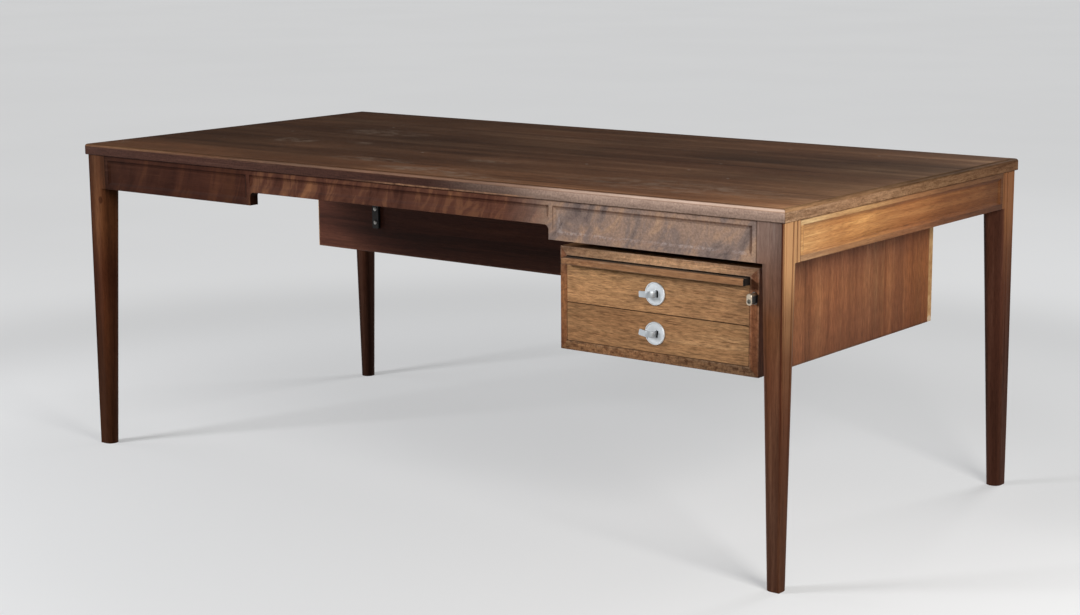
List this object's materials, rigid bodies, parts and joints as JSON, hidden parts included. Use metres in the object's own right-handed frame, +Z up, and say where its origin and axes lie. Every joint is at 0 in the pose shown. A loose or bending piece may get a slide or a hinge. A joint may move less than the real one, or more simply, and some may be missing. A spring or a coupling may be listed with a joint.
{
  "type": "writing desk",
  "caption": "Free-standing mahogany desk on tapered moulded legs, with panelled aprons, a hanging drawer pedestal, a pull-out writing slide, a push lock and a back board.",
  "frame": {"origin": "on the floor, under the middle of the table top", "axes": "+X to the right along the long front, +Y from the drawer side to the back, +Z up"},
  "size_m": [1.9, 0.95, 0.718],
  "materials": {
    "top_veneer": "old satin lacquer, worn and scuffed",
    "top_lipping": "satin lacquer rubbed pale at the edge",
    "leg_mahogany": "satin lacquer",
    "long_apron_mahogany": "figured veneer under satin lacquer",
    "side_apron_mahogany": "satin lacquer",
    "rail_beech": "raw wood",
    "back_board_mahogany": "satin lacquer",
    "strap_iron": "black paint",
    "screw_steel": "plain steel",
    "pedestal_mahogany": "satin lacquer",
    "runner_beech": "waxed raw wood",
    "drawer_front_mahogany": "satin lacquer",
    "drawer_bottom_ply": "plywood",
    "drawer_box_beech": "clear lacquer",
    "pull_satin_steel": "satin steel",
    "slide_lip_mahogany": "satin lacquer",
    "slide_leaf_lacquer": "black lacquered writing surface",
    "lock_chrome": "polished",
    "lock_core_brass": "nickelled brass"
  },
  "bodies": {
    "desk": {"apron_back": "long_apron_mahogany", "apron_front": "long_apron_mahogany", "apron_left": "side_apron_mahogany", "apron_right": "side_apron_mahogany", "back_board": "back_board_mahogany", "cross_rail_left": "rail_beech", "cross_rail_middle": "rail_beech", "hanger_left": "rail_beech", "hanger_right": "rail_beech", "leg_back_left": "leg_mahogany", "leg_back_right": "leg_mahogany", "leg_front_left": "leg_mahogany", "leg_front_right": "leg_mahogany", "lipping_back": "top_lipping", "lipping_front": "top_lipping", "lipping_left": "top_lipping", "lipping_right": "top_lipping", "lock_sleeve": "lock_chrome", "pedestal_bottom": "pedestal_mahogany", "pedestal_left": "pedestal_mahogany", "pedestal_right": "pedestal_mahogany", "pedestal_top": "pedestal_mahogany", "runner_lower_left": "runner_beech", "runner_lower_right": "runner_beech", "runner_upper_left": "runner_beech", "runner_upper_right": "runner_beech", "slide_runner_left": "runner_beech", "slide_runner_right": "runner_beech", "strap_left": "strap_iron", "strap_right": "strap_iron", "strap_screw_left_lower": "screw_steel", "strap_screw_left_upper": "screw_steel", "strap_screw_right_lower": "screw_steel", "strap_screw_right_upper": "screw_steel", "top_board": "top_veneer"},
    "drawer_lower": {"drawer_lower_back": "drawer_box_beech", "drawer_lower_bottom": "drawer_bottom_ply", "drawer_lower_front": "drawer_front_mahogany", "drawer_lower_left_side": "drawer_box_beech", "drawer_lower_right_side": "drawer_box_beech", "pull_disc_lower": "pull_satin_steel", "pull_tongue_lower": "pull_satin_steel"},
    "drawer_upper": {"drawer_upper_back": "drawer_box_beech", "drawer_upper_bottom": "drawer_bottom_ply", "drawer_upper_front": "drawer_front_mahogany", "drawer_upper_left_side": "drawer_box_beech", "drawer_upper_right_side": "drawer_box_beech", "pull_disc_upper": "pull_satin_steel", "pull_tongue_upper": "pull_satin_steel"},
    "lock_core": {"lock_core": "lock_core_brass"},
    "lock_cylinder": {"lock_cylinder": "lock_chrome"},
    "writing_slide": {"slide_leaf": "slide_leaf_lacquer", "slide_lip": "slide_lip_mahogany"}
  },
  "joints": [
    {"name": "upper_drawer_slide", "type": "slide", "parent": "desk", "child": "drawer_upper", "axis": [0, -1, 0], "range_m": [0, 0.4]},
    {"name": "lower_drawer_slide", "type": "slide", "parent": "desk", "child": "drawer_lower", "axis": [0, -1, 0], "range_m": [0, 0.4]},
    {"name": "writing_slide_pull", "type": "slide", "parent": "desk", "child": "writing_slide", "axis": [0, -1, 0], "range_m": [0, 0.38]},
    {"name": "lock_push", "type": "slide", "parent": "desk", "child": "lock_cylinder", "axis": [0, 1, 0], "range_m": [0, 0.01], "stiffness_N_per_m": 150},
    {"name": "lock_turn", "type": "hinge", "parent": "lock_cylinder", "child": "lock_core", "pos_m": [0.866, -0.459, 0.5395], "axis": [0, -1, 0], "range_deg": [0, 90]}
  ]
}
